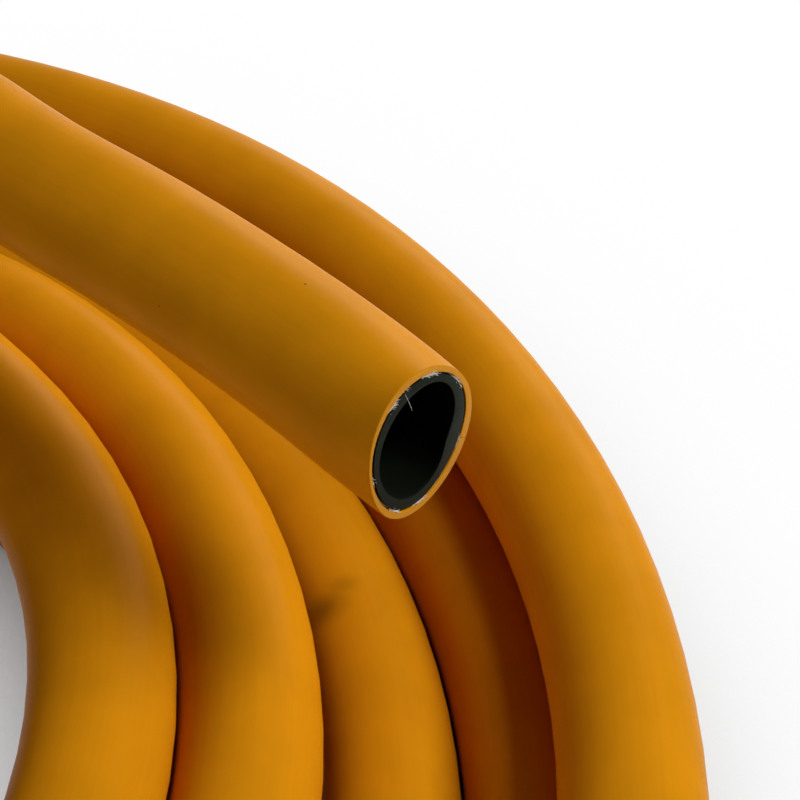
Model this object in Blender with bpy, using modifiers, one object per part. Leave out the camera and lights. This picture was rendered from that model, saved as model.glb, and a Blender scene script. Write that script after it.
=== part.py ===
"""Reinforced PVC hose, cut to length and lying on the floor in a loose flat coil.

Three real layers run the whole way from cut end to cut end: a black inner liner with the bore,
a reinforcement of polyester yarn round it, and an amber outer cover. The coil stands on z = 0 with
its footprint centred on the origin, and the free end on top points along +X. Units are metres.
"""

import math
from dataclasses import dataclass

import bpy
from mathutils import Vector

MM = 0.001

# Section of the hose
BORE = 19.0 * MM
LINER_WALL = 1.65 * MM
YARN_THICKNESS = 0.25 * MM
COVER_WALL = 0.75 * MM
LAYER_GAP = 0.3 * MM  # between two layers, which are bonded on the real hose

# Lay of the coil
INNERMOST_RADIUS = 122.0 * MM  # centreline of the smallest turn
TURN_GAP = 0.45 * MM  # between turns that lie against each other
DEGREES_PER_POINT = 20.0
COIL_START = 100.0  # degrees round the coil, counted back from the free end on top
COIL_END = 2340.0
TAIL_LENGTH = 45.0 * MM  # straight stretch at the lower cut end
RING_RESOLUTION = 3  # rounding steps in each quarter of the section
RING_SIDES = 4 + 2 * RING_RESOLUTION

# Free end, from its cut back to the coil, each point measured from the coil's axis and the floor
CUT_STUB = 3.0 * MM  # the last of the hose, turned so that the cut across it slants
CUT_FACING = Vector((2.9, 0.6, 0.25)).normalized()
FREE_END = [
    Vector((100.1, 143.4, 98.4)) * MM,
    Vector((91.0, 143.4, 98.4)) * MM,
    Vector((73.0, 142.8, 98.4)) * MM,
    Vector((53.1, 141.2, 98.4)) * MM,
    Vector((28.3, 138.1, 98.4)) * MM,
    Vector((7.5, 134.7, 98.4)) * MM,
]

LINER_OUTSIDE = BORE / 2 + LINER_WALL
YARN_OUTSIDE = LINER_OUTSIDE + LAYER_GAP + YARN_THICKNESS
HOSE_RADIUS = YARN_OUTSIDE + LAYER_GAP + COVER_WALL
PITCH = 2 * HOSE_RADIUS + TURN_GAP


@dataclass(frozen=True)
class Shift:
    """A stretch of the coil, in degrees, over which the hose moves across to another lay."""

    start: float
    end: float
    to: float


# How far out each turn lies, in pitches from the smallest turn
RADIUS_AT_START = 0.46
RADIUS_SHIFTS = [
    Shift(120, 400, 0.0),
    Shift(470, 560, 0.81),
    Shift(545, 640, 2.41),
    Shift(640, 780, 3.49),
    Shift(845, 930, 3.95),
    Shift(1030, 1130, 2.905),
    Shift(1290, 1400, 1.905),
    Shift(1630, 1770, 0.29),
    Shift(1990, 2080, 0.96),
]

# How high each turn lies, in pitches above a turn on the floor
HEIGHT_AT_START = 3.3
HEIGHT_SHIFTS = [
    Shift(95, 155, 2.91),
    Shift(160, 400, 1.143),
    Shift(445, 505, 1.837),
    Shift(555, 635, 1.02),
    Shift(650, 715, 1.147),
    Shift(720, 780, 0.817),
    Shift(865, 950, 0.0),
    Shift(1990, 2060, 1.035),
    Shift(2110, 2190, 0.827),
]


def lay_at(degrees, first, shifts):
    """Pitches from the start lay at this many degrees round, eased through each shift in turn."""
    lay = first
    for shift in shifts:
        done = min(max((degrees - shift.start) / (shift.end - shift.start), 0.0), 1.0)
        lay += (shift.to - lay) * (1 - math.cos(math.pi * done)) / 2
    return lay


def coil_point(degrees):
    """Centre of the hose at this many degrees round the coil."""
    radius = INNERMOST_RADIUS + PITCH * lay_at(degrees, RADIUS_AT_START, RADIUS_SHIFTS)
    height = HOSE_RADIUS + PITCH * lay_at(degrees, HEIGHT_AT_START, HEIGHT_SHIFTS)
    turned = math.radians(degrees)
    return Vector((radius * math.cos(turned), radius * math.sin(turned), height))


def hose_route():
    """Centreline from the free end to the tail, with the coil's footprint centred on the origin."""
    steps = round((COIL_END - COIL_START) / DEGREES_PER_POINT)
    stride = (COIL_END - COIL_START) / steps
    coil = [coil_point(COIL_START + stride * step) for step in range(steps + 1)]
    along = Vector((-math.sin(math.radians(COIL_END)), math.cos(math.radians(COIL_END)), 0.0))
    tail = [coil[-1] + along * TAIL_LENGTH * share for share in (0.4, 1.0)]
    cut = FREE_END[0] + CUT_FACING * CUT_STUB
    route = [cut] + FREE_END + coil + tail
    middle = Vector(
        [(min(p[axis] for p in route) + max(p[axis] for p in route)) / 2 for axis in (0, 1)] + [0.0]
    )
    return [point - middle for point in route]


def clear_scene():
    for obj in list(bpy.data.objects):
        bpy.data.objects.remove(obj, do_unlink=True)


def new_material(name, colour, roughness):
    material = bpy.data.materials.new(name)
    material.use_nodes = True
    shader = material.node_tree.nodes["Principled BSDF"]
    shader.inputs["Base Color"].default_value = (*colour, 1.0)
    shader.inputs["Roughness"].default_value = roughness
    shader.inputs["Metallic"].default_value = 0.0
    return material


def add_layer(collection, name, route, outside, wall, material):
    """One layer of the hose: an open tube swept along the route, given its wall inwards."""
    curve = bpy.data.curves.new(name, "CURVE")
    curve.dimensions = "3D"
    curve.twist_mode = "Z_UP"
    curve.bevel_depth = outside
    curve.bevel_resolution = RING_RESOLUTION
    curve.use_fill_caps = False
    spline = curve.splines.new("POLY")
    spline.points.add(len(route) - 1)
    for place, point in zip(spline.points, route):
        place.co = (*point, 1.0)
        place.tilt = math.pi / RING_SIDES  # a corner of the section at the bottom, on the floor
    spline.use_smooth = True
    curve.materials.append(material)
    layer = bpy.data.objects.new(name, curve)
    collection.objects.link(layer)
    shell = layer.modifiers.new("Wall", "SOLIDIFY")
    shell.thickness = wall
    shell.offset = -1.0
    shell.use_even_offset = False
    return layer


def build_hose():
    collection = bpy.data.collections.new("Reinforced_PVC_hose")
    bpy.context.scene.collection.children.link(collection)
    amber = new_material("Amber_PVC", (0.72, 0.29, 0.006), 0.38)
    white = new_material("White_polyester_yarn", (0.82, 0.79, 0.74), 0.75)
    black = new_material("Black_PVC", (0.012, 0.013, 0.010), 0.5)
    route = hose_route()
    add_layer(collection, "outer_cover", route, HOSE_RADIUS, COVER_WALL, amber)
    add_layer(collection, "yarn_reinforcement", route, YARN_OUTSIDE, YARN_THICKNESS, white)
    add_layer(collection, "inner_liner", route, LINER_OUTSIDE, LINER_WALL, black)


clear_scene()
build_hose()
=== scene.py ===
"""Cut end of a yarn-reinforced PVC hose lying on its own loose coil, in a white studio.

The hose is three layers swept along one centreline, which repeats the route of the CAD part:
an amber outer cover, a sleeve of white polyester yarn and a black inner liner with the bore.
Lengths are metres and angles are radians, unless a name says degrees.
"""

import logging
import math
from dataclasses import dataclass, field
from enum import Enum

import bpy
import numpy as np
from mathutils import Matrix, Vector


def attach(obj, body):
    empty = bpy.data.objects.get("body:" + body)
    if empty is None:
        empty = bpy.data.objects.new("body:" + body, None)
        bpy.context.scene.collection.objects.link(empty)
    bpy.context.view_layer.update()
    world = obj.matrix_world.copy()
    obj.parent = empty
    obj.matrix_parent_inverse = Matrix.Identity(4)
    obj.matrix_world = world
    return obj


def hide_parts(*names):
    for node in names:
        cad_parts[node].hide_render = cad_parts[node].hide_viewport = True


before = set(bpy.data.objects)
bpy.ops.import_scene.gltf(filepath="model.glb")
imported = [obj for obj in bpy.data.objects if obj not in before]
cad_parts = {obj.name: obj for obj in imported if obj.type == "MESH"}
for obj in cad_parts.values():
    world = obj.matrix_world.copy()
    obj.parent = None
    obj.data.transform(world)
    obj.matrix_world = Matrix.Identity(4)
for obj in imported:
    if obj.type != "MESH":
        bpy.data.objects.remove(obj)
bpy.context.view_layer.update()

MM = 0.001
BODY = "root"
WHITE = (1.0, 1.0, 1.0, 1.0)
MOST_OF_NOISE = (0.3, 0.7)  # range in which most values of a noise lie
log = logging.getLogger("hose")


class Section(Enum):
    """The surfaces that bound the layers, from outside to inside."""

    COVER_OUTSIDE = "cover outside"
    COVER_INSIDE = "cover inside"
    YARN_OUTSIDE = "yarn outside"
    YARN_INSIDE = "yarn inside"
    LINER_OUTSIDE = "liner outside"
    BORE = "bore"


@dataclass(frozen=True)
class Shift:
    """A stretch of the coil, in degrees, over which the hose moves across to another lay."""

    start: float
    end: float
    to: float


@dataclass
class Centreline:
    """The middle of the hose, read off at stations along it.

    Each station has a point, the way the hose runs, the way out of the coil and the way up.
    """

    stations: np.ndarray
    points: np.ndarray
    along: np.ndarray
    outward: np.ndarray
    up: np.ndarray

    @property
    def length(self) -> float:
        """Length of the hose from cut to cut."""
        return float(self.stations[-1])


@dataclass
class HoseRoute:
    """The route of the hose: the same points as in the CAD part."""

    hose_radius: float = 12.75 * MM
    pitch: float = 25.95 * MM
    innermost_radius: float = 122.0 * MM
    stride_degrees: float = 20.0
    coil_start: float = 100.0
    coil_end: float = 2340.0
    tail_length: float = 45.0 * MM
    tail_shares: tuple = (0.4, 1.0)  # where the straight tail has its points
    free_end: tuple = (
        (103.0, 143.4, 98.4), (91.0, 143.4, 98.4), (73.0, 142.8, 98.4),
        (53.1, 141.2, 98.4), (28.3, 138.1, 98.4), (7.5, 134.7, 98.4),
    )
    radius_at_start: float = 0.46
    radius_shifts: tuple = (
        Shift(120, 400, 0.0), Shift(470, 560, 0.81), Shift(545, 640, 2.41), Shift(640, 780, 3.49),
        Shift(845, 930, 3.95), Shift(1030, 1130, 2.905), Shift(1290, 1400, 1.905),
        Shift(1630, 1770, 0.29), Shift(1990, 2080, 0.96),
    )
    height_at_start: float = 3.3
    height_shifts: tuple = (
        Shift(95, 155, 2.91), Shift(160, 400, 1.143), Shift(445, 505, 1.837), Shift(555, 635, 1.02),
        Shift(650, 715, 1.147), Shift(720, 780, 0.817), Shift(865, 950, 0.0),
        Shift(1990, 2060, 1.035), Shift(2110, 2190, 0.827),
    )
    fine_points: int = 16000
    heading_reach: float = 1.5 * MM  # to each side of a station, for the way the hose runs there

    @staticmethod
    def lay_at(degrees: float, first: float, shifts: tuple) -> float:
        """Where the hose lies across the coil at this many degrees round it.

        Args:
            degrees: degrees round the coil, counted back from the free end.
            first: the lay before any shift, in pitches.
            shifts: the shifts, in the order in which the hose meets them.

        Returns:
            The lay in pitches, eased through each shift in turn.
        """
        lay = first
        for shift in shifts:
            done = min(max((degrees - shift.start) / (shift.end - shift.start), 0.0), 1.0)
            lay += (shift.to - lay) * (1 - math.cos(math.pi * done)) / 2
        return lay

    def coil_point(self, degrees: float) -> Vector:
        """Middle of the hose in its coil.

        Args:
            degrees: degrees round the coil, counted back from the free end.

        Returns:
            The point, before the coil is centred.
        """
        out = self.lay_at(degrees, self.radius_at_start, self.radius_shifts)
        height = self.lay_at(degrees, self.height_at_start, self.height_shifts)
        radius = self.innermost_radius + self.pitch * out
        turned = math.radians(degrees)
        return Vector((radius * math.cos(turned), radius * math.sin(turned),
                       self.hose_radius + self.pitch * height))

    def points(self) -> list[Vector]:
        """The route from the free end to the tail.

        Returns:
            Its points, centred as the CAD part is.
        """
        steps = round((self.coil_end - self.coil_start) / self.stride_degrees)
        stride = (self.coil_end - self.coil_start) / steps
        coil = [self.coil_point(self.coil_start + stride * step) for step in range(steps + 1)]
        turned = math.radians(self.coil_end)
        along = Vector((-math.sin(turned), math.cos(turned), 0.0))
        tail = [coil[-1] + along * self.tail_length * share for share in self.tail_shares]
        route = [Vector(point) * MM for point in self.free_end] + coil + tail
        middle = [(min(p[axis] for p in route) + max(p[axis] for p in route)) / 2
                  for axis in (0, 1)]
        return [point - Vector((*middle, 0.0)) for point in route]

    def centreline(self, spacing: float, cut_stations: tuple) -> Centreline:
        """A smooth curve through the route's points.

        Args:
            spacing: distance between stations away from the cuts.
            cut_stations: distances from each cut at which there are stations as well.

        Returns:
            The centreline with its stations from cut to cut.
        """
        route = np.array([list(p) for p in self.points()])
        knots = np.concatenate([[0.0], np.cumsum(np.linalg.norm(np.diff(route, axis=0), axis=1))])
        gaps, count = np.diff(knots), len(knots)
        matrix, right = np.eye(count), np.zeros((count, 3))
        for i in range(1, count - 1):
            matrix[i, i - 1:i + 2] = gaps[i - 1], 2 * (gaps[i - 1] + gaps[i]), gaps[i]
            rise_after = (route[i + 1] - route[i]) / gaps[i]
            rise_before = (route[i] - route[i - 1]) / gaps[i - 1]
            right[i] = 6 * (rise_after - rise_before)
        bends = np.linalg.solve(matrix, right)
        fine = np.linspace(0.0, knots[-1], self.fine_points)
        seg = np.clip(np.searchsorted(knots, fine, side="right") - 1, 0, count - 2)
        gap = gaps[seg][:, None]
        b = (fine - knots[seg])[:, None] / gap
        a = 1 - b
        curve = (a * route[seg] + b * route[seg + 1]
                 + ((a ** 3 - a) * bends[seg] + (b ** 3 - b) * bends[seg + 1]) * gap ** 2 / 6)
        run = np.concatenate([[0.0], np.cumsum(np.linalg.norm(np.diff(curve, axis=0), axis=1))])
        near = [s for s in cut_stations if s > 0]
        length, last = run[-1], near[-1]
        inner = np.linspace(last, length - last, round((length - 2 * last) / spacing) + 1)
        stations = np.concatenate(
            [[0.0], near[:-1], inner, length - np.array(near[:-1][::-1]), [length]])

        def read(at: np.ndarray) -> np.ndarray:
            """Points of the fine curve at these distances along it."""
            return np.stack([np.interp(at, run, curve[:, axis]) for axis in range(3)], axis=1)

        ahead = read(np.minimum(stations + self.heading_reach, length))
        along = ahead - read(np.maximum(stations - self.heading_reach, 0.0))
        along /= np.linalg.norm(along, axis=1)[:, None]
        outward = np.cross(along, [0.0, 0.0, 1.0])
        outward /= np.linalg.norm(outward, axis=1)[:, None]
        return Centreline(stations, read(stations), along, outward, np.cross(outward, along))


@dataclass(frozen=True)
class Wave:
    """One share of an outline that isn't round: so many lobes, with its amounts in metres."""

    lobes: int
    cosine: float
    sine: float


@dataclass
class HoseSection:
    """The section of the hose, round along its length and pressed out of round at the free cut."""

    radii: dict = field(default_factory=lambda: {
        Section.COVER_OUTSIDE: 12.75 * MM, Section.COVER_INSIDE: 11.50 * MM,
        Section.YARN_OUTSIDE: 11.44 * MM, Section.YARN_INSIDE: 11.24 * MM,
        Section.LINER_OUTSIDE: 11.18 * MM, Section.BORE: 9.40 * MM,
    })
    slant_out: float = 0.206  # how far the cut leans back for each metre out and up
    slant_up: float = 0.087
    slant_depth: float = 12.0 * MM
    pressed_depth: float = 16.0 * MM
    cover_waves: tuple = (Wave(1, 0.0, 0.75 * MM), Wave(2, -0.33 * MM, -0.40 * MM),
                          Wave(3, 0.35 * MM, -0.10 * MM))
    inside_waves: tuple = (Wave(1, -0.30 * MM, 0.95 * MM), Wave(2, -0.23 * MM, -0.20 * MM),
                           Wave(3, 0.30 * MM, 0.1 * MM))
    bore_waves: tuple = (Wave(0, -0.12 * MM, 0.0), Wave(1, -0.65 * MM, 1.15 * MM),
                         Wave(2, -0.32 * MM, 0.11 * MM), Wave(3, 0.0, 0.26 * MM))
    bore_bulge: float = 0.7 * MM
    bore_bulge_angle: float = math.radians(-27)
    bore_bulge_width: float = 0.42
    drift: float = 0.05 * MM  # of the cover, out of round along the whole hose
    drift_waves: tuple = ((2, 9.0, 1.0), (3, -23.0, 0.6))  # lobes, turn in a metre and share
    drift_from_cut: float = 30.0 * MM

    def waves(self, surface: Section) -> tuple:
        """How a surface is pressed out of round at the cut.

        Args:
            surface: which surface.

        Returns:
            Its waves.
        """
        if surface is Section.COVER_OUTSIDE:
            return self.cover_waves
        return self.bore_waves if surface is Section.BORE else self.inside_waves

    def radius(self, surface: Section, angles: np.ndarray, station: float,
               length: float) -> np.ndarray:
        """Distance of a surface from the middle of the hose.

        Args:
            surface: which surface.
            angles: angles round the hose.
            station: distance from the free end's cut.
            length: length of the hose.

        Returns:
            A radius for each angle.
        """
        pressed = max(0.0, 1 - station / self.pressed_depth) ** 2
        shape = np.zeros_like(angles)
        for wave in self.waves(surface):
            turned = wave.lobes * angles
            shape += wave.cosine * np.cos(turned) + wave.sine * np.sin(turned)
        if surface is Section.BORE:
            apart = np.angle(np.exp(1j * (angles - self.bore_bulge_angle)))
            shape -= self.bore_bulge * np.exp(-(apart / self.bore_bulge_width) ** 2)
        shape *= pressed
        if surface is Section.COVER_OUTSIDE:
            settled = min(station, length - station, self.drift_from_cut) / self.drift_from_cut
            for lobes, turn, share in self.drift_waves:
                shape += self.drift * settled * share * np.sin(lobes * angles + turn * station)
        return self.radii[surface] + shape

    def forward(self, out: np.ndarray, up: np.ndarray, station: float) -> np.ndarray:
        """How far the slant of the cut moves points towards the free end.

        Args:
            out: distances out of the coil from the middle of the hose.
            up: distances up from the middle of the hose.
            station: distance from the free end's cut.

        Returns:
            The moves.
        """
        fade = max(0.0, 1 - station / self.slant_depth) ** 2
        return -(self.slant_out * out + self.slant_up * up) * fade


@dataclass
class HoseLayer:
    """One layer of the hose: a closed tube wall from cut to cut."""

    name: str
    outside: Section
    inside: Section
    sides: int
    node: str
    slot: str
    recess: float = 0.0
    recess_depth: float = 6.0 * MM
    cut_round: float = 0.12 * MM
    inner_round_share: float = 0.6
    sharp_edge: float = math.radians(40)

    def rings(self, line: Centreline, section: HoseSection,
              surface: Section) -> tuple[np.ndarray, np.ndarray]:
        """The rings of points of one surface.

        Args:
            line: centreline of the hose.
            section: section of the hose.
            surface: which surface.

        Returns:
            The points, stations by sides by three, and the same points on the straight hose.
        """
        angles = np.arange(self.sides) * math.tau / self.sides
        rounding = -self.cut_round
        if surface is not self.outside:
            rounding = self.cut_round * self.inner_round_share
        points, straight = [], []
        for i, station in enumerate(line.stations):
            radius = section.radius(surface, angles, station, line.length)
            if i in (0, len(line.stations) - 1):
                radius = radius + rounding
            out, up = radius * np.cos(angles), radius * np.sin(angles)
            sunk = [self.recess * max(0.0, 1 - from_cut / self.recess_depth) ** 2
                    for from_cut in (station, line.length - station)]
            move = sunk[0] - sunk[1] - section.forward(out, up, station)
            points.append(line.points[i] + out[:, None] * line.outward[i] + up[:, None] * line.up[i]
                          + move[:, None] * line.along[i])
            straight.append(np.stack([out, up, station + move], axis=1))
        return np.array(points), np.array(straight)

    def build(self, line: Centreline, section: HoseSection) -> bpy.types.Object:
        """The layer as a closed mesh, with the straightened coordinates and a UV map.

        Args:
            line: centreline of the hose.
            section: section of the hose.

        Returns:
            The new object, at the origin.
        """
        outer, outer_straight = self.rings(line, section, self.outside)
        inner, inner_straight = self.rings(line, section, self.inside)
        count, sides = len(outer), self.sides
        vertices = np.concatenate([outer, inner]).reshape(-1, 3)
        straight = np.concatenate([outer_straight, inner_straight]).reshape(-1, 3)
        ring, side = np.meshgrid(np.arange(count - 1), np.arange(sides), indexing="ij")
        after = (side + 1) % sides
        a, b = ring * sides + side, (ring + 1) * sides + side
        c, d = (ring + 1) * sides + after, ring * sides + after
        wall_out = np.stack([a, b, c, d], axis=-1).reshape(-1, 4)
        wall_in = wall_out[:, ::-1] + count * sides
        k = np.arange(sides)
        n = (k + 1) % sides
        base = count * sides
        start = np.stack([k, n, base + n, base + k], axis=1)
        last = (count - 1) * sides
        end = np.stack([last + k, base + last + k, base + last + n, last + n], axis=1)
        faces = np.concatenate([wall_out, wall_in, start, end])
        mesh = bpy.data.meshes.new(self.name)
        mesh.from_pydata(vertices.tolist(), [], faces.tolist())
        mesh.update()
        cut = np.zeros(len(faces), dtype=np.int32)
        cut[-2 * sides:] = 1
        mesh.polygons.foreach_set("material_index", cut)
        laid = mesh.attributes.new("straight", "FLOAT_VECTOR", "POINT")
        laid.data.foreach_set("vector", straight.astype(np.float32).ravel())
        uv = mesh.uv_layers.new(name="UVMap")
        corner_side = np.concatenate([
            np.stack([side, side, side + 1, side + 1], axis=-1).reshape(-1, 4),
            np.stack([side + 1, side + 1, side, side], axis=-1).reshape(-1, 4),
            np.stack([k, k + 1, k + 1, k], axis=1),
            np.stack([k, k, k + 1, k + 1], axis=1),
        ])
        u = corner_side / sides * math.tau * section.radii[Section.COVER_OUTSIDE]
        v = straight[faces][:, :, 2]
        uv.data.foreach_set("uv", np.stack([u, v], axis=-1).astype(np.float32).ravel())
        mesh.shade_smooth()
        mesh.set_sharp_from_angle(angle=self.sharp_edge)
        layer = bpy.data.objects.new(self.name, mesh)
        bpy.context.scene.collection.objects.link(layer)
        return layer

    def dress(self, layer: bpy.types.Object, skin: bpy.types.Material,
              cut: bpy.types.Material) -> None:
        """Gives the layer its finishes and seats it in the frame.

        Args:
            layer: the object that build made.
            skin: finish of the moulded faces.
            cut: finish of the cut faces.
        """
        layer.data.materials.append(skin)
        layer.data.materials.append(cut)
        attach(layer, BODY)
        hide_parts(self.node)


class NodeSheet:
    """A node tree with short ways to add and join nodes."""

    def __init__(self, tree: bpy.types.NodeTree) -> None:
        """Takes the tree to write in."""
        self.tree = tree

    def add(self, kind: str, settings: dict | None = None, **inputs: object) -> bpy.types.Node:
        """Adds a node.

        Args:
            kind: the node's type name.
            settings: properties of the node.
            inputs: a value, or a socket to join, for each input, by its name or as i and a number.

        Returns:
            The node.
        """
        node = self.tree.nodes.new(kind)
        for name, value in (settings or {}).items():
            setattr(node, name, value)
        for name, value in inputs.items():
            if name[0] == "i" and name[1:].isdigit():
                socket = node.inputs[int(name[1:])]
            else:
                socket = node.inputs[name.replace("_", " ")]
            if isinstance(value, bpy.types.NodeSocket):
                self.tree.links.new(value, socket)
            else:
                socket.default_value = value
        return node

    def result(self, kind: str, settings: dict | None = None,
               **inputs: object) -> bpy.types.NodeSocket:
        """First output of a new node, which is added as add does."""
        return self.add(kind, settings, **inputs).outputs[0]

    def math(self, operation: str, *values: object) -> bpy.types.NodeSocket:
        """Result of a Math node."""
        inputs = {f"i{place}": value for place, value in enumerate(values)}
        return self.result("ShaderNodeMath", {"operation": operation}, **inputs)

    def mix(self, share: object, first: object, second: object,
            blend: str = "MIX") -> bpy.types.NodeSocket:
        """Result of a colour Mix node."""
        settings = {"data_type": "RGBA", "blend_type": blend}
        return self.add("ShaderNodeMix", settings, i0=share, i6=first, i7=second).outputs[2]

    def range(self, value: object, low: float, high: float, to_low: float,
              to_high: float) -> bpy.types.NodeSocket:
        """Result of a smooth Map Range node."""
        return self.result("ShaderNodeMapRange", {"interpolation_type": "SMOOTHSTEP"},
                           i0=value, i1=low, i2=high, i3=to_low, i4=to_high)

    def noise(self, at: bpy.types.NodeSocket, scale: float, detail: float,
              roughness: float = 0.5) -> bpy.types.NodeSocket:
        """Values of a Noise Texture node."""
        return self.result("ShaderNodeTexNoise", Vector=at, Scale=scale, Detail=detail,
                           Roughness=roughness)

    def moved(self, at: bpy.types.NodeSocket, scale: tuple, location: tuple = (0.0, 0.0, 0.0),
              turn: float = 0.0) -> bpy.types.NodeSocket:
        """Coordinates from a Mapping node that scales them, turns them round Z and moves them."""
        return self.result("ShaderNodeMapping", Vector=at, Location=location,
                           Rotation=(0.0, 0.0, turn), Scale=scale)


def surface_sheet(name: str, outputs: tuple) -> tuple[NodeSheet, bpy.types.NodeSocket]:
    """An empty node group for a surface.

    Args:
        name: name of the group.
        outputs: names of the values that it puts out.

    Returns:
        Its sheet, and the straightened coordinates that it takes.
    """
    group = bpy.data.node_groups.new(name, "ShaderNodeTree")
    group.interface.new_socket("Straight", in_out="INPUT", socket_type="NodeSocketVector")
    for output in outputs:
        group.interface.new_socket(output, in_out="OUTPUT", socket_type="NodeSocketFloat")
    sheet = NodeSheet(group)
    return sheet, sheet.add("NodeGroupInput").outputs["Straight"]


@dataclass(frozen=True)
class SoftPvcSurface:
    """Surface of extruded soft PVC, for the cover and the liner."""

    streak_scale: tuple = (900.0, 900.0, 14.0)
    grain_scale: float = 2600.0
    cloud_scale: float = 55.0
    grain_share: float = 0.55

    def group(self) -> bpy.types.NodeTree:
        """The surface as a node group.

        Returns:
            The group, which puts out streaks, grain, cloud and height.
        """
        outputs = ("Streaks", "Grain", "Cloud", "Height")
        sheet, straight = surface_sheet("Soft PVC surface", outputs)
        drawn = sheet.moved(straight, self.streak_scale)
        streaks = sheet.noise(drawn, scale=1.0, detail=3.0, roughness=0.6)
        grain = sheet.noise(straight, self.grain_scale, detail=2.0, roughness=0.6)
        cloud = sheet.noise(straight, self.cloud_scale, detail=3.0, roughness=0.55)
        lift = sheet.math("MULTIPLY_ADD", grain, self.grain_share,
                          sheet.math("MULTIPLY", streaks, 1 - self.grain_share))
        sheet.add("NodeGroupOutput", Streaks=streaks, Grain=grain, Cloud=cloud, Height=lift)
        return sheet.tree


@dataclass(frozen=True)
class KnifeCutSurface:
    """Face cut with a knife, for the cut faces of the cover and the liner."""

    drag_scale: tuple = (250.0, 2400.0, 2400.0)
    drag_turn: float = math.radians(65)
    pit_scale: float = 1500.0
    pit_share: float = 0.4

    def group(self) -> bpy.types.NodeTree:
        """The surface as a node group.

        Returns:
            The group, which puts out drag marks and height.
        """
        sheet, straight = surface_sheet("Knife cut surface", ("Drag", "Height"))
        drawn = sheet.moved(straight, self.drag_scale, turn=self.drag_turn)
        drag = sheet.noise(drawn, scale=1.0, detail=3.0, roughness=0.6)
        pits = sheet.noise(straight, self.pit_scale, detail=2.0)
        lift = sheet.math("MULTIPLY_ADD", pits, self.pit_share,
                          sheet.math("MULTIPLY", drag, 1 - self.pit_share))
        sheet.add("NodeGroupOutput", Drag=drag, Height=lift)
        return sheet.tree


@dataclass(frozen=True)
class Finish:
    """What the finishes share: a name, a colour, how satin they are and how much they reflect."""

    name: str
    colour: tuple
    roughness: float
    gloss: float

    def start(self) -> tuple[bpy.types.Material, NodeSheet, bpy.types.Node, bpy.types.NodeSocket]:
        """A new material.

        Returns:
            The material, its sheet, its shader and the straightened coordinates.
        """
        material = bpy.data.materials.new(self.name)
        material.use_nodes = True
        sheet = NodeSheet(material.node_tree)
        shader = material.node_tree.nodes["Principled BSDF"]
        shader.inputs["Roughness"].default_value = self.roughness
        shader.inputs["Specular IOR Level"].default_value = self.gloss
        straight = sheet.add("ShaderNodeAttribute", {"attribute_name": "straight"})
        return material, sheet, shader, straight.outputs["Vector"]

    def tint(self, by: float) -> tuple:
        """The colour made lighter or darker, with full alpha."""
        return (*(min(channel * by, 1.0) for channel in self.colour), 1.0)

    @staticmethod
    def coat(sheet: NodeSheet, shader: bpy.types.Node, colour: bpy.types.NodeSocket,
             height: bpy.types.NodeSocket, bump: tuple) -> None:
        """Joins a colour and a bumpy height to the shader.

        Args:
            sheet: sheet of the material.
            shader: the material's shader.
            colour: colour that changes over the surface.
            height: height that changes over the surface.
            bump: strength and depth of the bumps.
        """
        sheet.tree.links.new(colour, shader.inputs["Base Color"])
        normal = sheet.result("ShaderNodeBump", Strength=bump[0], Distance=bump[1], Height=height)
        sheet.tree.links.new(normal, shader.inputs["Normal"])


@dataclass(frozen=True)
class Mark:
    """A dark mark on the cover, placed on the hose laid out straight: specks are grime, soft
    patches are painted shadow.
    """

    place: tuple
    reach: float
    edge: float  # where it starts to fade
    depth: float
    squeeze: float = 1.0  # how many times shorter it is along the hose


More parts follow.
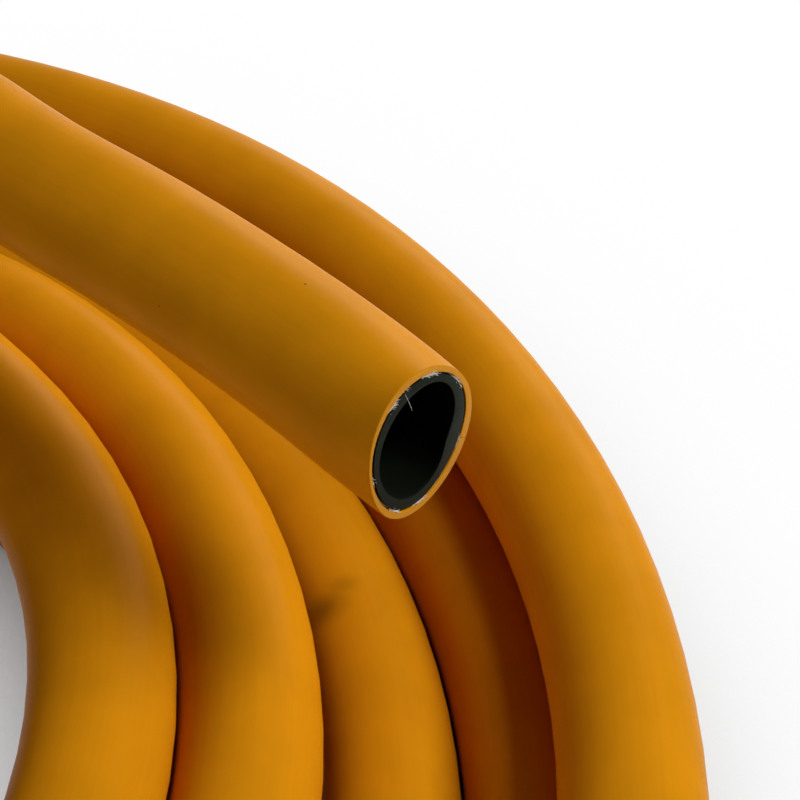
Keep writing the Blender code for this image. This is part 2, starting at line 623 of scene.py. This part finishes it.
@dataclass(frozen=True)
class AmberPvc(Finish):
    """Satin amber PVC of the outer cover, with a few specks of grime and one soft patch of painted
    shadow from the free end's tip.
    """

    name: str = "Amber PVC"
    colour: tuple = (0.66, 0.25, 0.004)
    roughness: float = 0.30
    gloss: float = 0.007
    marks: tuple = (
        Mark((0.00190, 0.01260, 0.0296), 0.00030, 0.00012, 0.85),
        Mark((-0.01202, 0.00426, 0.0501), 0.00022, 0.00012, 0.7),
        # painted shadow: these two marks darken a soft patch of a lower turn where the free end's
        # tip casts its shadow
        Mark((-0.00680, 0.01070, 4.4384), 0.00760, 0.00050, 0.50, 1.35),
        Mark((-0.00200, 0.01250, 4.4420), 0.00560, 0.00030, 0.26, 1.5),
    )
    speck_cells: float = 34.0
    speck_share: float = 0.22
    speck_edge: tuple = (0.004, 0.009)  # where a speck starts to fade and ends, in cells
    speck_depth: float = 0.7
    fray: float = 0.25  # of a mark's reach
    fade: float = 1.12  # where a mark ends, of its reach
    # colour of the dark specks and of the painted shadow under the free end's tip
    dirt_and_painted_shadow: tuple = (0.025, 0.012, 0.001, 1.0)
    cloud_tints: tuple = (0.94, 1.05)
    streak_range: tuple = (0.25, 0.75)
    streak_tints: tuple = (0.975, 1.015)
    rough_spread: tuple = (-0.05, 0.06)
    bump: tuple = (0.14, 0.06 * MM)

    def marked(self, sheet: NodeSheet, straight: bpy.types.NodeSocket, cloud: bpy.types.NodeSocket,
               body: bpy.types.NodeSocket) -> bpy.types.NodeSocket:
        """The cover's colour with its marks (specks of grime and a painted shadow) and a sparse
        scatter of fine specks.

        Args:
            sheet: sheet of the material.
            straight: straightened coordinates.
            cloud: noise that frays the edge of a mark.
            body: colour of the clean cover.

        Returns:
            The colour with the marks.
        """
        cells = sheet.add("ShaderNodeTexVoronoi", Vector=straight, Scale=self.speck_cells).outputs
        drawn = sheet.result("ShaderNodeSeparateColor", i0=cells["Color"])
        dirt_and_painted_shadow = sheet.math("MULTIPLY", sheet.math("LESS_THAN", drawn, self.speck_share),
                          sheet.range(cells["Distance"], *self.speck_edge, self.speck_depth, 0.0))
        # each mark darkens a soft round patch: the specks, and the painted shadow of the free end's
        # tip
        for mark in self.marks:
            x, y, z = mark.place
            moved = sheet.moved(straight, (1.0, 1.0, mark.squeeze), (-x, -y, -z * mark.squeeze))
            away = sheet.add("ShaderNodeVectorMath", {"operation": "LENGTH"}, i0=moved)
            frayed = sheet.math("MULTIPLY_ADD", cloud, mark.reach * self.fray,
                                away.outputs["Value"])
            one = sheet.range(frayed, mark.edge, mark.reach * self.fade, mark.depth, 0.0)
            dirt_and_painted_shadow = sheet.math("MAXIMUM", dirt_and_painted_shadow, one)
        return sheet.mix(dirt_and_painted_shadow, body, self.dirt_and_painted_shadow)

    def material(self, surface: bpy.types.NodeTree) -> bpy.types.Material:
        """The finish as a material.

        Args:
            surface: node group of the surface of soft PVC.

        Returns:
            The material.
        """
        material, sheet, shader, straight = self.start()
        pvc = sheet.add("ShaderNodeGroup", {"node_tree": surface}, Straight=straight).outputs
        cloud = sheet.range(pvc["Cloud"], *MOST_OF_NOISE, 0.0, 1.0)
        body = sheet.mix(cloud, *(self.tint(by) for by in self.cloud_tints))
        fine = sheet.range(pvc["Streaks"], *self.streak_range, *self.streak_tints)
        streaks = sheet.result("ShaderNodeCombineColor", i0=fine, i1=fine, i2=fine)
        body = sheet.mix(1.0, body, streaks, "MULTIPLY")
        body = self.marked(sheet, straight, pvc["Cloud"], body)
        rough = sheet.range(pvc["Grain"], *MOST_OF_NOISE,
                            *(self.roughness + spread for spread in self.rough_spread))
        sheet.tree.links.new(rough, shader.inputs["Roughness"])
        self.coat(sheet, shader, body, pvc["Height"], self.bump)
        return material


@dataclass(frozen=True)
class CutPvc(Finish):
    """PVC where a knife went through it."""

    drag_share: float  # how much the drag marks change the colour
    nick_degrees: float | None = None
    nick_edge: tuple = (0.06 * MM, 0.20 * MM)  # where the nick starts to fade and ends
    nick_fray: float = 0.12 * MM
    nick_depth: float = 0.85
    nick_tint: float = 0.12
    free_stretch: float = 0.1  # only this much of the hose, at the free end, has the nick
    bump: tuple = (0.5, 0.08 * MM)

    def nick(self, sheet: NodeSheet, straight: bpy.types.NodeSocket,
             drag: bpy.types.NodeSocket) -> bpy.types.NodeSocket:
        """Mask of a thin dark nick across the ring of the cut.

        Args:
            sheet: sheet of the material.
            straight: straightened coordinates.
            drag: drag marks, which make the nick uneven.

        Returns:
            The mask.
        """
        turned = sheet.moved(straight, (1.0, 1.0, 1.0), turn=-math.radians(self.nick_degrees))
        parts = sheet.add("ShaderNodeSeparateXYZ", i0=turned).outputs
        aside = sheet.math("MULTIPLY_ADD", drag, self.nick_fray, sheet.math("ABSOLUTE", parts[1]))
        beyond = sheet.math("GREATER_THAN", parts[0], 0.0)
        near = sheet.math("LESS_THAN", parts[2], self.free_stretch)
        line = sheet.range(aside, *self.nick_edge, self.nick_depth, 0.0)
        return sheet.math("MULTIPLY", line, sheet.math("MULTIPLY", beyond, near))

    def material(self, surface: bpy.types.NodeTree) -> bpy.types.Material:
        """The finish as a material.

        Args:
            surface: node group of a face cut with a knife.

        Returns:
            The material.
        """
        material, sheet, shader, straight = self.start()
        knife = sheet.add("ShaderNodeGroup", {"node_tree": surface}, Straight=straight).outputs
        drag = sheet.range(knife["Drag"], *MOST_OF_NOISE, 0.0, 1.0)
        body = sheet.mix(drag, self.tint(1 - self.drag_share), self.tint(1 + self.drag_share))
        if self.nick_degrees is not None:
            body = sheet.mix(self.nick(sheet, straight, drag), body, self.tint(self.nick_tint))
        self.coat(sheet, shader, body, knife["Height"], self.bump)
        return material


@dataclass(frozen=True)
class BlackPvc(Finish):
    """Black soft PVC of the liner."""

    name: str = "Black PVC"
    colour: tuple = (0.0035, 0.0045, 0.0025)
    roughness: float = 0.5
    gloss: float = 0.05
    tints: tuple = (0.8, 1.3)
    bump: tuple = (0.3, 0.08 * MM)

    def material(self, surface: bpy.types.NodeTree) -> bpy.types.Material:
        """The finish as a material.

        Args:
            surface: node group of the surface of soft PVC.

        Returns:
            The material.
        """
        material, sheet, shader, straight = self.start()
        pvc = sheet.add("ShaderNodeGroup", {"node_tree": surface}, Straight=straight).outputs
        body = sheet.mix(pvc["Cloud"], *(self.tint(by) for by in self.tints))
        self.coat(sheet, shader, body, pvc["Height"], self.bump)
        return material


@dataclass(frozen=True)
class PolyesterYarn(Finish):
    """White spun polyester."""

    name: str = "Polyester yarn"
    colour: tuple = (0.92, 0.86, 0.77)
    roughness: float = 0.75
    gloss: float = 0.5
    fibre_scale: tuple = (2200.0, 2200.0, 500.0)
    tints: tuple = (0.82, 1.1)
    bump: tuple = (0.5, 0.1 * MM)

    def material(self) -> bpy.types.Material:
        """The finish as a material.

        Returns:
            The material, its fibres drawn out along the hose.
        """
        material, sheet, shader, straight = self.start()
        fibre = sheet.noise(sheet.moved(straight, self.fibre_scale), scale=1.0, detail=3.0)
        body = sheet.mix(fibre, *(self.tint(by) for by in self.tints))
        self.coat(sheet, shader, body, fibre, self.bump)
        return material


@dataclass(frozen=True)
class Tuft:
    """Yarn end that shows at a cut: where it is, how wide it is frayed and how far it reaches.

    Its lie is 0 where the fibres stand up every way and 1 where they lie flat round the ring, and
    its fall is 1 for a loose hair that hangs over the bore.
    """

    degrees: float
    width: float
    reach: float
    fibres: int
    lie: float = 0.0
    fall: float = 0.0


@dataclass
class YarnEnds:
    """Frayed ends of the yarn between the cover and the liner at one cut."""

    name: str
    tufts: tuple
    fibre_radius: float = 0.028 * MM
    curl: float = 0.28 * MM
    seed: int = 7
    ring_radius: float = 11.4 * MM
    spread: float = 0.33  # of a tuft's width, as one deviation
    root_depth: float = 0.25 * MM
    stand: float = 0.12  # how far every fibre points out of the cut
    loose_stand: tuple = (0.13, 0.9)  # range of what a loose one adds
    hair_stand: float = 0.4  # what a fallen one adds
    loose_lean: tuple = (0.15, 0.4)  # inwards, mean and deviation
    flat_lean: tuple = (-0.1, 0.28)  # inwards, range
    reach_range: tuple = (0.5, 1.2)  # of a tuft's reach
    fibre_points: int = 9
    fibre_sides: int = 5
    wave_scale: float = 2600.0
    wave_share: float = 0.8

    def way(self, tuft: Tuft, rng: np.random.Generator, ahead: np.ndarray, around: np.ndarray,
            inward: np.ndarray) -> np.ndarray:
        """The way that the next fibre of a tuft points.

        Args:
            tuft: the tuft.
            rng: source of the random draws.
            ahead: the way out of the cut.
            around: the way round the ring.
            inward: the way to the middle of the hose.

        Returns:
            The way, one long.
        """
        loose = (1 - tuft.lie) * (1 - tuft.fall)
        side = 1.0 if rng.uniform() < 0.5 else -1.0
        out = self.stand + self.hair_stand * tuft.fall + loose * rng.uniform(*self.loose_stand)
        across = rng.normal(0.0, 1.0) * loose + side * tuft.lie
        lean = (rng.normal(*self.loose_lean) * loose + rng.uniform(*self.flat_lean) * tuft.lie
                + tuft.fall)
        way = ahead * out + around * across + inward * lean
        return way / np.linalg.norm(way)

    def seats(self, line: Centreline, section: HoseSection, far: bool) -> bpy.types.Object:
        """Where the fibres grow.

        Args:
            line: centreline of the hose.
            section: section of the hose.
            far: whether this is the tail's cut.

        Returns:
            A new object of one vertex for each fibre, with the fibre's way and length.
        """
        rng = np.random.default_rng(self.seed)
        station = line.length if far else 0.0
        row = -1 if far else 0
        ahead = line.along[row] * (1.0 if far else -1.0)
        places, ways, lengths = [], [], []
        for tuft in self.tufts:
            for _ in range(tuft.fibres):
                aside = rng.normal(0.0, self.spread) * tuft.width / self.ring_radius
                angle = math.radians(tuft.degrees) + aside
                outer, inner = (section.radius(wall, np.array([angle]), station, line.length)[0]
                                for wall in (Section.COVER_INSIDE, Section.LINER_OUTSIDE))
                radius = inner + (outer - inner) * rng.uniform(0.0, 1.0)
                out, up = radius * math.cos(angle), radius * math.sin(angle)
                forward = 0.0 if far else section.forward(out, up, station)
                places.append(line.points[row] + out * line.outward[row] + up * line.up[row]
                              + (forward - self.root_depth) * ahead)
                outward = math.cos(angle) * line.outward[row] + math.sin(angle) * line.up[row]
                around = math.cos(angle) * line.up[row] - math.sin(angle) * line.outward[row]
                ways.append(self.way(tuft, rng, ahead, around, -outward))
                lengths.append(tuft.reach * rng.uniform(*self.reach_range))
        mesh = bpy.data.meshes.new(self.name)
        mesh.from_pydata([tuple(p) for p in places], [], [])
        way = mesh.attributes.new("way", "FLOAT_VECTOR", "POINT")
        way.data.foreach_set("vector", np.array(ways).ravel())
        reach = mesh.attributes.new("reach", "FLOAT", "POINT")
        reach.data.foreach_set("value", lengths)
        seats = bpy.data.objects.new(self.name, mesh)
        bpy.context.scene.collection.objects.link(seats)
        return seats

    def tree(self, yarn: bpy.types.Material) -> bpy.types.NodeTree:
        """Geometry nodes that grow a curled fibre on each seat.

        Args:
            yarn: finish of the fibres.

        Returns:
            The tree, with inputs for the thickness, the curl and the seed.
        """
        tree = bpy.data.node_groups.new("Yarn fibres", "GeometryNodeTree")
        for name, way, kind in (
            ("Geometry", "INPUT", "Geometry"), ("Fibre radius", "INPUT", "Float"),
            ("Curl", "INPUT", "Float"), ("Seed", "INPUT", "Int"),
            ("Geometry", "OUTPUT", "Geometry"),
        ):
            tree.interface.new_socket(name, in_out=way, socket_type="NodeSocket" + kind)
        sheet = NodeSheet(tree)
        given = sheet.add("NodeGroupInput").outputs
        vector, named = {"data_type": "FLOAT_VECTOR"}, "GeometryNodeInputNamedAttribute"
        way = sheet.result(named, vector, Name="way")
        reach = sheet.result(named, {"data_type": "FLOAT"}, Name="reach")
        line = sheet.result("GeometryNodeCurvePrimitiveLine", Start=(0, 0, 0), End=(0, 0, 1))
        fibre = sheet.result("GeometryNodeResampleCurve", Curve=line, Count=self.fibre_points)
        turn = sheet.result("FunctionNodeAlignRotationToVector", {"axis": "Z"}, Vector=way)
        grown = sheet.result("GeometryNodeInstanceOnPoints", Points=given["Geometry"],
                             Instance=fibre, Rotation=turn, Scale=reach)
        loose = sheet.result("GeometryNodeRealizeInstances", Geometry=grown)
        number = sheet.math("FLOOR", sheet.math("DIVIDE", sheet.result("GeometryNodeInputIndex"),
                                                float(self.fibre_points)))
        own = sheet.result("FunctionNodeRandomValue", vector, Min=(-1.0, -1.0, -1.0),
                           Max=(1.0, 1.0, 1.0), ID=number, Seed=given["Seed"])
        at = sheet.result("GeometryNodeInputPosition")
        wave = sheet.add("ShaderNodeTexNoise", {"normalize": False}, Vector=at,
                         Scale=self.wave_scale, Detail=1.0).outputs["Color"]
        both = sheet.result("ShaderNodeVectorMath", {"operation": "MULTIPLY_ADD"}, i0=wave,
                            i1=(self.wave_share,) * 3, i2=own)
        along = sheet.add("GeometryNodeSplineParameter").outputs["Factor"]
        amount = sheet.math("MULTIPLY", sheet.math("MULTIPLY", along, along), given["Curl"])
        curl = sheet.result("ShaderNodeVectorMath", {"operation": "SCALE"}, i0=both, Scale=amount)
        curled = sheet.result("GeometryNodeSetPosition", Geometry=loose, Offset=curl)
        profile = sheet.result("GeometryNodeCurvePrimitiveCircle", Resolution=self.fibre_sides,
                               Radius=given["Fibre radius"])
        skin = sheet.result("GeometryNodeCurveToMesh", Curve=curled, i1=profile)
        laid = sheet.result("GeometryNodeStoreNamedAttribute", {**vector, "domain": "POINT"},
                            Geometry=skin, Name="straight",
                            Value=sheet.result("GeometryNodeInputPosition"))
        real = sheet.result("GeometryNodeRealizeInstances", Geometry=laid)
        dressed = sheet.result("GeometryNodeSetMaterial", Geometry=real, Material=yarn)
        sheet.add("NodeGroupOutput", Geometry=dressed)
        return tree

    def build(self, line: Centreline, section: HoseSection, yarn: bpy.types.Material,
              far: bool) -> bpy.types.Object:
        """The frayed ends as a plain mesh.

        Args:
            line: centreline of the hose.
            section: section of the hose.
            yarn: finish of the fibres.
            far: whether this is the tail's cut.

        Returns:
            The new object, which rides on the hose.
        """
        seats = self.seats(line, section, far)
        tree = self.tree(yarn)
        grow = seats.modifiers.new("Fibres", "NODES")
        grow.node_group = tree
        values = {"Fibre radius": self.fibre_radius, "Curl": self.curl, "Seed": self.seed}
        for item in tree.interface.items_tree:
            if item.in_out == "INPUT" and item.name in values:
                grow[item.identifier] = values[item.name]
        bpy.context.view_layer.update()
        grown = seats.evaluated_get(bpy.context.evaluated_depsgraph_get())
        made = bpy.data.meshes.new_from_object(grown)
        seats.modifiers.remove(grow)
        ends = bpy.data.objects.new(self.name, made)
        bpy.data.objects.remove(seats)
        ends.name = self.name
        made.name = self.name
        bpy.context.scene.collection.objects.link(ends)
        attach(ends, BODY)
        return ends


@dataclass
class PhotoCamera:
    """The camera, where the photographer stood."""

    place: tuple = (0.269052, 0.008470, 0.307230)
    looks: tuple = (-0.55763, 0.47320, -0.68200)
    lens: float = 87.5
    sensor: float = 36.0
    clip: tuple = (0.01, 20.0)

    def build(self) -> bpy.types.Object:
        """Places the camera.

        Returns:
            The camera object, set as the scene's camera.
        """
        data = bpy.data.cameras.new("Photo camera")
        data.lens, data.sensor_width = self.lens, self.sensor
        data.clip_start, data.clip_end = self.clip
        camera = bpy.data.objects.new("Photo camera", data)
        camera.location = self.place
        camera.rotation_mode = "QUATERNION"
        camera.rotation_quaternion = Vector(self.looks).to_track_quat("-Z", "Y")
        bpy.context.scene.collection.objects.link(camera)
        bpy.context.scene.camera = camera
        return camera


@dataclass(frozen=True)
class Lamp:
    """A square soft lamp that looks at the coil."""

    name: str
    way: tuple
    distance: float
    size: float
    power: float

    def build(self) -> bpy.types.Object:
        """Places the lamp.

        Returns:
            The lamp as an object.
        """
        data = bpy.data.lights.new(self.name, "AREA")
        data.shape, data.size, data.energy = "SQUARE", self.size, self.power
        lamp = bpy.data.objects.new(self.name, data)
        way = Vector(self.way).normalized()
        lamp.location = way * self.distance
        lamp.rotation_mode = "QUATERNION"
        lamp.rotation_quaternion = (-way).to_track_quat("-Z", "Y")
        bpy.context.scene.collection.objects.link(lamp)
        return lamp


@dataclass
class Studio:
    """White floor, white surroundings and soft lamps."""

    floor_size: float = 6.0
    ambient: float = 0.02
    floor_glow: float = 1.0
    floor_colour: float = 0.5
    shadow_reach: float = 0.12
    shadow_samples: int = 8
    shadow_range: tuple = (0.1, 0.95)  # share of open sky where the floor's shadow is full and ends
    lamps: tuple = (
        Lamp("Key lamp", (0.485, 0.497, 0.719), distance=1.5, size=0.6, power=14.4),
        Lamp("Back lamp", (-0.424, 0.881, 0.208), distance=2.4, size=1.5, power=38.1),
        Lamp("Left lamp", (0.080, -0.975, 0.208), distance=1.8, size=0.75, power=8.6),
    )

    @staticmethod
    def seen(sheet: NodeSheet) -> bpy.types.NodeSocket:
        """Mask of the rays that show the surroundings.

        Args:
            sheet: sheet of the floor or the world.

        Returns:
            The mask.
        """
        rays = sheet.add("ShaderNodeLightPath").outputs
        seen = sheet.math("MAXIMUM", rays["Is Camera Ray"], rays["Is Glossy Ray"])
        return sheet.math("MAXIMUM", seen, rays["Is Transmission Ray"])

    def floor(self) -> bpy.types.Object:
        """The floor: a pale matt plane that keeps the shadow and lets the camera see white.

        Returns:
            The floor.
        """
        half = self.floor_size / 2
        corners = [(-half, -half, 0), (half, -half, 0), (half, half, 0), (-half, half, 0)]
        mesh = bpy.data.meshes.new("Floor")
        mesh.from_pydata(corners, [], [(0, 1, 2, 3)])
        floor = bpy.data.objects.new("Floor", mesh)
        material = bpy.data.materials.new("White floor")
        material.use_nodes = True
        tree = material.node_tree
        tree.nodes.remove(tree.nodes["Principled BSDF"])
        sheet = NodeSheet(tree)
        open_sky = sheet.add("ShaderNodeAmbientOcclusion", {"samples": self.shadow_samples},
                             Distance=self.shadow_reach).outputs["AO"]
        glowing = sheet.range(open_sky, *self.shadow_range, 0.0, self.floor_glow)
        share = sheet.math("MULTIPLY", self.seen(sheet), glowing)
        matt = sheet.result("ShaderNodeBsdfDiffuse", Color=(*[self.floor_colour] * 3, 1.0))
        glow = sheet.result("ShaderNodeEmission", Color=WHITE, Strength=1.0)
        both = sheet.result("ShaderNodeMixShader", i0=share, i1=matt, i2=glow)
        tree.links.new(both, tree.nodes["Material Output"].inputs["Surface"])
        mesh.materials.append(material)
        bpy.context.scene.collection.objects.link(floor)
        return floor

    def surroundings(self) -> None:
        """The world: white to the camera, a weaker even light to the hose."""
        world = bpy.data.worlds.new("White surroundings")
        bpy.context.scene.world = world
        world.use_nodes = True
        sheet = NodeSheet(world.node_tree)
        strength = sheet.result("ShaderNodeMapRange", i0=self.seen(sheet), i3=self.ambient, i4=1.0)
        back = world.node_tree.nodes["Background"]
        back.inputs["Color"].default_value = WHITE
        world.node_tree.links.new(strength, back.inputs["Strength"])

    def build(self) -> None:
        """Sets up the floor, the surroundings, the lamps and the plain view."""
        self.floor()
        self.surroundings()
        for lamp in self.lamps:
            lamp.build()
        bpy.context.scene.view_settings.view_transform = "Standard"


@dataclass
class Hose:
    """The whole hose: its layers, finishes and yarn ends."""

    route: HoseRoute = field(default_factory=HoseRoute)
    section: HoseSection = field(default_factory=HoseSection)
    spacing: float = 9.5 * MM
    cut_stations: tuple = (0.0, 0.12 * MM, 0.6 * MM, 1.5 * MM, 3 * MM, 5 * MM, 7.5 * MM, 10.5 * MM,
                           14 * MM, 18 * MM, 23 * MM, 29 * MM)
    cover: HoseLayer = field(default_factory=lambda: HoseLayer(
        "outer_cover_tube", Section.COVER_OUTSIDE, Section.COVER_INSIDE, 64,
        "outer_cover", "amber_pvc"))
    yarn: HoseLayer = field(default_factory=lambda: HoseLayer(
        "yarn_sleeve", Section.YARN_OUTSIDE, Section.YARN_INSIDE, 32,
        "yarn_reinforcement", "polyester_yarn", recess=0.7 * MM, cut_round=0.0))
    liner: HoseLayer = field(default_factory=lambda: HoseLayer(
        "inner_liner_tube", Section.LINER_OUTSIDE, Section.BORE, 64,
        "inner_liner", "black_pvc"))
    cover_cut: CutPvc = CutPvc("Amber PVC, cut", (0.70, 0.29, 0.02), roughness=0.5, gloss=0.06,
                               drag_share=0.05, nick_degrees=-30.0)
    liner_cut: CutPvc = CutPvc("Black PVC, cut", (0.0110, 0.0135, 0.0080), roughness=0.5,
                               gloss=0.04, drag_share=0.25)
    free_tufts: tuple = (
        Tuft(75, 2.0 * MM, 1.1 * MM, 90, lie=1.0),
        Tuft(70, 0.8 * MM, 0.9 * MM, 3, lie=0.4, fall=0.5),
        Tuft(101, 0.5 * MM, 0.6 * MM, 10, lie=0.6), Tuft(103, 0.1 * MM, 3.5 * MM, 1, fall=1.0),
        Tuft(112, 0.9 * MM, 0.6 * MM, 16, lie=0.8), Tuft(118, 1.2 * MM, 0.8 * MM, 40, lie=0.92),
        Tuft(34, 1.5 * MM, 1.1 * MM, 44, lie=0.88), Tuft(22, 0.5 * MM, 0.5 * MM, 8),
        Tuft(-33, 1.1 * MM, 0.8 * MM, 34, lie=0.9), Tuft(-75, 1.0 * MM, 0.5 * MM, 8, lie=0.8),
        Tuft(-98, 1.6 * MM, 0.9 * MM, 52, lie=0.95), Tuft(-132, 1.6 * MM, 0.9 * MM, 40, lie=0.95),
        Tuft(175, 1.6 * MM, 0.5 * MM, 12, lie=0.8),
    )
    tail_tufts: tuple = tuple(Tuft(20 + 45 * place, 1.4 * MM, 0.6 * MM, 8) for place in range(8))

    def build(self) -> None:
        line = self.route.centreline(self.spacing, self.cut_stations)
        log.info("centreline: %.3f m, %d stations", line.length, len(line.stations))
        pvc, knife = SoftPvcSurface().group(), KnifeCutSurface().group()
        yarn = PolyesterYarn().material()
        finishes = (
            (self.cover, AmberPvc().material(pvc), self.cover_cut),
            (self.yarn, yarn, None),
            (self.liner, BlackPvc().material(pvc), self.liner_cut),
        )
        for layer, skin, cut in finishes:
            made = layer.build(line, self.section)
            layer.dress(made, skin, cut.material(knife) if cut else skin)
            log.info("%s: %d faces", made.name, len(made.data.polygons))
        for ends, far in ((YarnEnds("yarn_ends_free", self.free_tufts), False),
                          (YarnEnds("yarn_ends_tail", self.tail_tufts, seed=11), True)):
            ends.build(line, self.section, yarn, far)


def main() -> None:
    """Builds the camera, the hose and the studio."""
    logging.basicConfig(level=logging.INFO, format="%(name)s: %(message)s")
    PhotoCamera().build()
    log.info("camera placed")
    Hose().build()
    Studio().build()
    log.info("studio lit")


if __name__ == "__main__":
    main()
